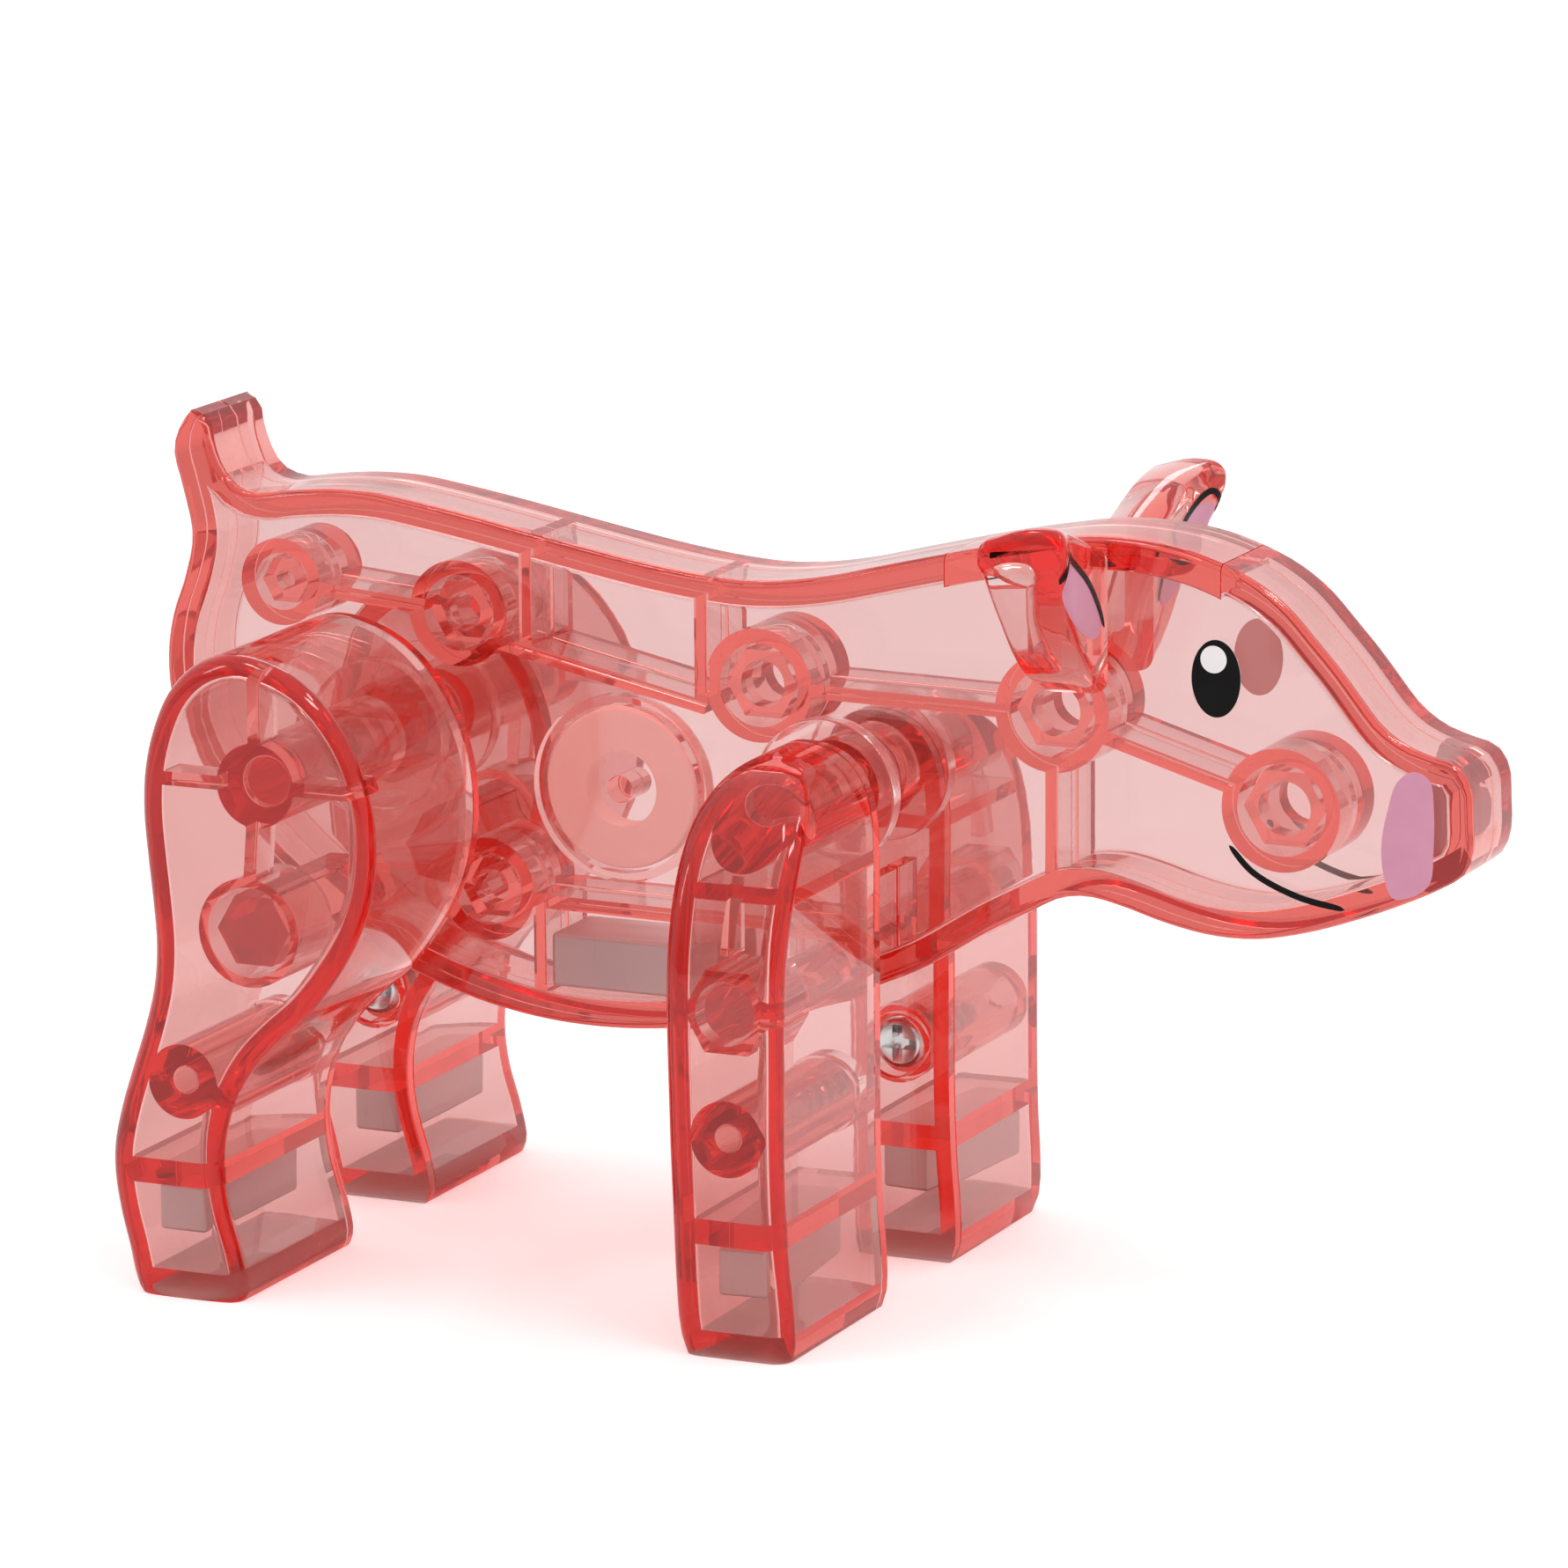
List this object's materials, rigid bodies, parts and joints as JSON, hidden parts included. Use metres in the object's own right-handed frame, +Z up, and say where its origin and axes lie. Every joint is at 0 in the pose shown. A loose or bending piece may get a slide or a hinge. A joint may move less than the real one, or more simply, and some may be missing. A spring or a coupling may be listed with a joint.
{
  "type": "clear plastic toy pig with turning legs",
  "caption": "Clear pink toy pig with a flat hollow body, turning hollow legs, standing ears and steel-coloured bar magnets sealed inside its belly and feet.",
  "frame": {"origin": "on the ground, under the middle of the figure's box", "axes": "+X from tail to snout, +Y to the pig's left, +Z up"},
  "size_m": [0.12, 0.0566, 0.0722],
  "materials": {
    "clear_pink": "clear pink polished plastic",
    "frosted": "frosted whitish plastic",
    "steel": "plain steel screw",
    "magnet": "dull plated bar magnet"
  },
  "bodies": {
    "torso": {"body_half_right": "clear_pink", "body_half_left": "clear_pink", "ear_piece": "clear_pink", "belly_magnet": "magnet", "belly_spacer": "frosted", "hip_axle": "clear_pink", "shoulder_axle": "clear_pink"},
    "front_left_leg": {"front_left_leg_shell": "clear_pink", "front_left_leg_cover": "clear_pink", "front_left_screw": "steel", "front_left_foot_magnet": "magnet", "front_left_washer": "frosted"},
    "front_right_leg": {"front_right_leg_shell": "clear_pink", "front_right_leg_cover": "clear_pink", "front_right_screw": "steel", "front_right_foot_magnet": "magnet", "front_right_washer": "frosted"},
    "rear_left_leg": {"rear_left_leg_shell": "clear_pink", "rear_left_leg_cover": "clear_pink", "rear_left_screw": "steel", "rear_left_foot_magnet": "magnet", "rear_left_washer": "frosted"},
    "rear_right_leg": {"rear_right_leg_shell": "clear_pink", "rear_right_leg_cover": "clear_pink", "rear_right_screw": "steel", "rear_right_foot_magnet": "magnet", "rear_right_washer": "frosted"}
  },
  "joints": [
    {"name": "front_left_shoulder", "type": "hinge", "parent": "torso", "child": "front_left_leg", "pos_m": [0.0032, 0, 0.0438], "axis": [0, 1, 0], "range_deg": [-65, 22]},
    {"name": "front_right_shoulder", "type": "hinge", "parent": "torso", "child": "front_right_leg", "pos_m": [0.0032, 0, 0.0438], "axis": [0, 1, 0], "range_deg": [-65, 22]},
    {"name": "rear_left_hip", "type": "hinge", "parent": "torso", "child": "rear_left_leg", "pos_m": [-0.0397, 0, 0.045], "axis": [0, 1, 0], "range_deg": [-22, 65]},
    {"name": "rear_right_hip", "type": "hinge", "parent": "torso", "child": "rear_right_leg", "pos_m": [-0.0397, 0, 0.045], "axis": [0, 1, 0], "range_deg": [-22, 65]}
  ]
}
